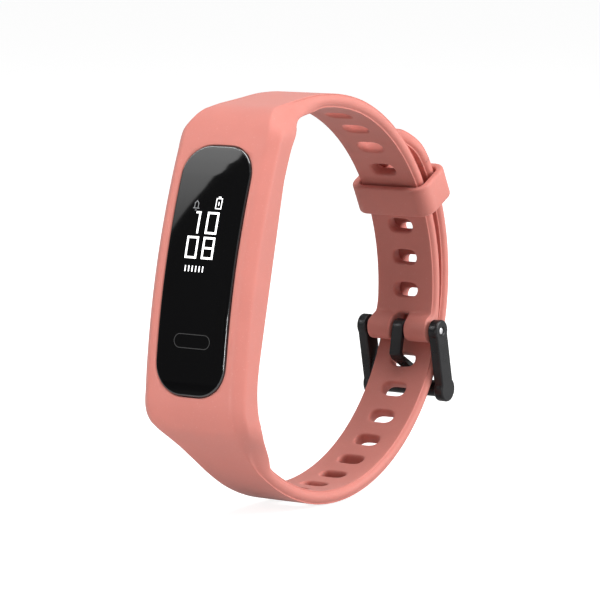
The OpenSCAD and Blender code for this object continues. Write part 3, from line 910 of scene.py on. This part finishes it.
def strap_place(n, j, k, s):
    """X, Y and Z of a vertex of the barrel, a strap, its shoulder or its tip."""
    o, q, half = s["outer"], s["inner"], s["half"]
    at_edge, even = n == columns, k / (layers - 1)
    x = half + edge_x[k] if at_edge else strap_x[n]
    share = edge_d[k] if at_edge else even
    if s["kind"] == "shoulder":
        x, share = shoulder_place(n, k, s)
    elif s["kind"] == "tip":
        narrow = half / strap_half
        x = max(tip_least, half + edge_x[k] * narrow) if at_edge else strap_x[n] * narrow
    elif s["kind"] == "barrel" and n == 1:
        x = slot_half
    p = between(o, q, share)
    if "turn" in s and j == 0:
        first, last = s["turn"]
        p = polar(pin_c, barrel_r, first + (last - first) * even)
        x = half - barrel_inset if at_edge else x
    elif "turn" in s and at_edge:
        p = between(o, q, even)
        x = half - (barrel_inset if k in (0, layers - 1) else 0.0)
    if j == rows - 1:
        p, tip = between(o, q, edge_d[k]), math.radians(tip_at)
        p = (p[0] - tip_bow[k] * math.sin(tip), p[1] + tip_bow[k] * math.cos(tip))
    if s["kind"] in ("hole_edge", "hole_middle") and n <= 2:
        x, p = hole_place(n, k, s)
    return x, p[0], p[1]


for v in band.data.vertices:
    i, j, k = grid_index(v)
    s = stations[j]
    in_cradle = s["kind"] in WINDOW + ("face",)
    x, y, z = cradle_place(abs(i), k, s) if in_cradle else strap_place(abs(i), j, k, s)
    v.co = (math.copysign(x, i), y, z)

# Subdivision rounds every edge, so the bevel, the window and the hole mouths are kept firmer
cradle_back, cradle_reach, bevel_from = -20, 23.5, 6.9
bevel_crease, window_crease, hole_crease = 0.42, 0.55, 0.38
begin_edit(band)
cage = bmesh.from_edit_mesh(band.data)
crease = cage.edges.layers.float.get("crease_edge") or cage.edges.layers.float.new("crease_edge")
bpy.ops.mesh.select_all(action="SELECT")
bpy.ops.mesh.normals_make_consistent(inside=False)
for e in cage.edges:
    faces = e.link_faces
    if len(faces) != 2:
        continue
    bend = math.degrees(faces[0].normal.angle(faces[1].normal, 0.0))
    mid = (e.verts[0].co + e.verts[1].co) / 2
    on_cradle = mid.y < cradle_back and abs(mid.z) < cradle_reach
    on_bevel = abs(mid.x) > bevel_from and mid.y < rim_y + 2 * bevel_leg
    if on_cradle and bend > 24:
        e[crease] = bevel_crease if on_bevel else window_crease
    elif bend > 52:
        e[crease] = hole_crease
bmesh.update_edit_mesh(band.data)
end_edit()
stand_up(band)
rounding = band.modifiers.new("rounding", "SUBSURF")
rounding.levels = 2
rounding.render_levels = 2
use_modifiers(band)
outward(band)
smooth(band)

salmon = (0.66, 0.225, 0.185, 1)
silicone = Finish("salmon_silicone", 0.58, 0.0, 0.35)
silicone.shader.inputs["Sheen Weight"].default_value = 0.12
silicone.shader.inputs["Sheen Roughness"].default_value = 0.5
silicone.shader.inputs["Subsurface Weight"].default_value = 0.08
silicone.shader.inputs["Subsurface Scale"].default_value = 0.0012
silicone.shader.inputs["Subsurface Radius"].default_value = (1.0, 0.35, 0.25)
skin = silicone.group(grain, Scale=1500.0)
dust = silicone.nodes.new("ShaderNodeTexNoise")
dust.inputs["Scale"].default_value = 4200.0
dust.inputs["Detail"].default_value = 1.0
silicone.links.new(silicone.place, dust.inputs["Vector"])
salmon_dark, salmon_light = shade(salmon, 0.965), shade(salmon, 1.03)
silicone_tone = silicone.ramp(skin.outputs["Mottle"], [(0.28, salmon_dark), (0.72, salmon_light)])
specks = silicone.span(dust.outputs["Fac"], 0.0, 0.16, 0.66, 0.74)
silicone.colour(silicone.mix(specks, silicone_tone, (0.85, 0.48, 0.42, 1)))
silicone.rough(silicone.span(skin.outputs["Mottle"], 0.52, 0.64))
silicone.bump(skin.outputs["Height"], 0.008)
silicone.on(band)
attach(band, "strap")
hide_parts("wrist_strap")

# ---- Keeper loop ----
# A separate moulded loop of the same silicone, slid over both straps. Its corners are round
# and its rims have a small soft edge.
keeper_at, keeper_h, keeper_wall = 41.0, 5.0, 1.2
keeper_low, keeper_high, keeper_inner = 26.40, 32.35, 11.7
keeper_round, keeper_bulge, keeper_rim = 2.3, 0.12, 0.38
loop_w = keeper_inner + 2 * keeper_wall
loop_d = keeper_high - keeper_low + 2 * keeper_wall
bpy.ops.mesh.primitive_cube_add(size=1)
keeper = new_piece("silicone_keeper")
begin_edit(keeper)
bpy.ops.mesh.select_mode(type="FACE")
bpy.ops.mesh.select_all(action="SELECT")
bpy.ops.transform.resize(value=(loop_w, loop_d, keeper_h))
bpy.ops.mesh.select_all(action="DESELECT")
loop_mesh = bmesh.from_edit_mesh(keeper.data)
for f in loop_mesh.faces:
    f.select_set(abs(f.normal.z) > 0.9)
bmesh.update_edit_mesh(keeper.data)
bpy.ops.mesh.delete(type="FACE")
bpy.ops.mesh.select_mode(type="EDGE")
bpy.ops.mesh.select_all(action="DESELECT")
loop_mesh = bmesh.from_edit_mesh(keeper.data)
for e in loop_mesh.edges:
    d = e.verts[0].co - e.verts[1].co
    e.select_set(abs(d.z) > keeper_h * 0.9)
bmesh.update_edit_mesh(keeper.data)
bpy.ops.mesh.bevel(offset=keeper_round, segments=8, profile=0.5, affect="EDGES")
bpy.ops.mesh.select_mode(type="FACE")
bpy.ops.mesh.select_all(action="SELECT")
bpy.ops.mesh.normals_make_consistent(inside=False)
end_edit()
for v in keeper.data.vertices:
    # Its two broad walls bulge a little, as a soft loop does over two straps
    bulge = keeper_bulge * (1 - (v.co.x / (loop_w / 2)) ** 2)
    y = v.co.y + math.copysign(bulge, v.co.y) + (keeper_low + keeper_high) / 2
    a = math.radians(keeper_at)
    v.co = (v.co.x, y * math.cos(a) - v.co.z * math.sin(a), y * math.sin(a) + v.co.z * math.cos(a))
stand_up(keeper)
wall = keeper.modifiers.new("wall", "SOLIDIFY")
wall.thickness = keeper_wall * MM
wall.offset = -1.0
rim = keeper.modifiers.new("rim", "BEVEL")
rim.width = keeper_rim * MM
rim.segments = 4
rim.limit_method = "ANGLE"
rim.angle_limit = math.radians(60)
use_modifiers(keeper)
outward(keeper)
smooth(keeper, 40)
silicone.on(keeper)
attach(keeper, "keeper")
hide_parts("strap_keeper")

# ---- Buckle, pin and tongue ----
# The frame is zinc cast in one piece, tumbled and coated satin black. A steel pin, its ends
# riveted flush, carries it and the stamped tongue in the band's barrel.
buckle_black = Finish("satin_black_metal", 0.34, 0.55, 0.5)
buckle_skin = buckle_black.group(grain, Scale=1700.0)
worn = buckle_black.nodes.new("ShaderNodeNewGeometry")
edge_wear = buckle_black.span(worn.outputs["Pointiness"], 0.0, 0.5, 0.535, 0.62)
coat_dark, coat_light = (0.020, 0.020, 0.021, 1), (0.030, 0.030, 0.032, 1)
coat_colour = buckle_black.ramp(
    buckle_skin.outputs["Mottle"], [(0.3, coat_dark), (0.7, coat_light)]
)
buckle_black.colour(buckle_black.mix(edge_wear, coat_colour, (0.085, 0.085, 0.09, 1)))
buckle_black.rough(buckle_black.span(buckle_skin.outputs["Mottle"], 0.24, 0.34))
buckle_black.bump(buckle_skin.outputs["Height"], 0.004)

buckle = softened_copy("buckle_frame", "buckle_casting", 0.32, segments=4, flat=1.0, corner=40)
buckle_black.on(buckle)
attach(buckle, "buckle")
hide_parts("buckle_frame")

tongue = softened_copy("buckle_tongue", "stamped_tongue", 0.20, segments=3, flat=1.0, corner=40)
buckle_black.on(tongue)
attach(tongue, "tongue")
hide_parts("buckle_tongue")

rivet = softened_copy("buckle_pin", "rivet_pin", 0.14, segments=3, flat=0.5, corner=50)
drawn_metal("pin_steel", (0.72, 0.72, 0.73, 1), 0.42, (900.0, 9000.0, 9000.0), 0.003).on(rivet)
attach(rivet, "buckle")
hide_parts("buckle_pin")

# ---- Floor, lights and camera ----
# A white floor runs under and behind the band. Broad soft lights stand to the right and
# above, a small one in front, and a slanted panel at the front shows in the glass.
lowest = cad_box[0].z
floor_gap = 0.0002
bpy.ops.mesh.primitive_plane_add(size=6, location=(0, 0, lowest - floor_gap))
floor = new_piece("studio_floor")
paper = Finish("floor_paper", 0.9, 0.0, 0.1)
fibres = paper.group(grain, Scale=900.0)
paper_dark, paper_light = (0.495, 0.495, 0.495, 1), (0.505, 0.505, 0.505, 1)
paper.colour(paper.ramp(fibres.outputs["Mottle"], [(0.3, paper_dark), (0.7, paper_light)]))
paper.bump(fibres.outputs["Height"], 0.01)
paper.shader.inputs["Emission Color"].default_value = (1, 1, 1, 1)
paper_seen = paper.nodes.new("ShaderNodeLightPath")
paper_lift = paper.nodes.new("ShaderNodeMath")
paper_lift.operation = "MULTIPLY"
paper_lift.inputs[1].default_value = 0.84
paper.links.new(paper_seen.outputs["Is Camera Ray"], paper_lift.inputs[0])
paper.links.new(paper_lift.outputs[0], paper.shader.inputs["Emission Strength"])
paper.on(floor)

studio = bpy.data.worlds.new("studio")
scene.world = studio
studio.use_nodes = True
backdrop = studio.node_tree.nodes["Background"]
backdrop.inputs["Color"].default_value = (1.0, 1.0, 1.0, 1.0)
seen = studio.node_tree.nodes.new("ShaderNodeLightPath")
level = studio.node_tree.nodes.new("ShaderNodeMapRange")
level.inputs["To Min"].default_value = 0.25
level.inputs["To Max"].default_value = 1.0
studio.node_tree.links.new(seen.outputs["Is Camera Ray"], level.inputs["Value"])
studio.node_tree.links.new(level.outputs["Result"], backdrop.inputs["Strength"])


def soft_light(name, place, size, power):
    """A square soft light that faces the middle of the band."""
    data = bpy.data.lights.new(name, "AREA")
    data.shape = "RECTANGLE"
    data.size = size
    data.size_y = size
    data.energy = power
    lamp = bpy.data.objects.new(name, data)
    scene.collection.objects.link(lamp)
    lamp.location = place
    lamp.rotation_euler = (-Vector(place)).to_track_quat("-Z", "Y").to_euler()


soft_light("key_right", (0.55, 0.30, 0.22), 0.40, 4.2)
soft_light("top", (0.05, -0.05, 0.60), 0.45, 3.0)
soft_light("front_fill", (0.0, -0.70, 0.06), 0.14, 2.6)

camera_data = bpy.data.cameras.new("camera")
camera = bpy.data.objects.new("camera", camera_data)
scene.collection.objects.link(camera)
look_at = Vector((0.00122, -0.00403, -0.00096))
azimuth, elevation, distance = math.radians(34.34), math.radians(7.10), 0.5
back = Vector(
    (
        math.sin(azimuth) * math.cos(elevation),
        -math.cos(azimuth) * math.cos(elevation),
        math.sin(elevation),
    )
)
camera.location = look_at + back * distance
camera.rotation_euler = (-back).to_track_quat("-Z", "Y").to_euler()
camera_data.lens = 199.2
camera_data.sensor_width = 36.0
camera_data.clip_start = 0.01
camera_data.clip_end = 20.0
scene.camera = camera
scene.view_settings.view_transform = "Standard"

# The glass mirrors a slanted panel over its upper left: the panel's corners are where the
# camera's sight of these glass points, bounced off the curve, meets the panel's plane.
panel_away = 0.30


def bounced(x, z):
    """The place on the glass and the way a ray from the camera leaves it."""
    at = leaned(*on_glass(x, z, 0.0))
    tilt = math.asin(z / face_radius)
    normal = leaned(0, -math.cos(tilt), math.sin(tilt)).normalized()
    sight = (camera.location - at).normalized()
    return at, 2 * normal.dot(sight) * normal - sight


middle_at, middle_way = bounced(0, 0)
panel_corners = []
for x, z in ((-9.8, -6.0), (9.6, 21.3), (9.6, 27.0), (-24.0, 27.0), (-24.0, -6.0)):
    at, way = bounced(x, z)
    reach = (middle_at + middle_way * panel_away - at).dot(middle_way) / way.dot(middle_way)
    panel_corners.append(at + way * reach)
panel_mesh = bpy.data.meshes.new("reflected_panel")
panel_mesh.from_pydata(panel_corners, [], [range(len(panel_corners))])
reflected_panel = bpy.data.objects.new("reflected_panel", panel_mesh)
scene.collection.objects.link(reflected_panel)
panel_light = bpy.data.materials.new("panel_light")
panel_light.use_nodes = True
panel_nodes, panel_links = panel_light.node_tree.nodes, panel_light.node_tree.links
panel_nodes.clear()
panel_glow = panel_nodes.new("ShaderNodeEmission")
panel_place = panel_nodes.new("ShaderNodeTexCoord")
panel_split = panel_nodes.new("ShaderNodeSeparateXYZ")
panel_fade = panel_nodes.new("ShaderNodeMapRange")
panel_fade.inputs["From Min"].default_value = panel_corners[0].z
panel_fade.inputs["From Max"].default_value = panel_corners[1].z
panel_fade.inputs["To Min"].default_value = 0.22
panel_fade.inputs["To Max"].default_value = 1.0
panel_power = panel_nodes.new("ShaderNodeMath")
panel_power.operation = "POWER"
panel_power.inputs[1].default_value = 2.0
panel_level = panel_nodes.new("ShaderNodeMath")
panel_level.operation = "MULTIPLY"
panel_level.inputs[1].default_value = 15.0
panel_end = panel_nodes.new("ShaderNodeOutputMaterial")
panel_links.new(panel_place.outputs["Object"], panel_split.inputs["Vector"])
panel_links.new(panel_split.outputs["Z"], panel_fade.inputs["Value"])
panel_links.new(panel_fade.outputs["Result"], panel_power.inputs[0])
panel_links.new(panel_power.outputs[0], panel_level.inputs[0])
panel_links.new(panel_level.outputs[0], panel_glow.inputs["Strength"])
panel_links.new(panel_glow.outputs["Emission"], panel_end.inputs["Surface"])
panel_mesh.materials.append(panel_light)
reflected_panel.visible_diffuse = False
reflected_panel.visible_camera = False
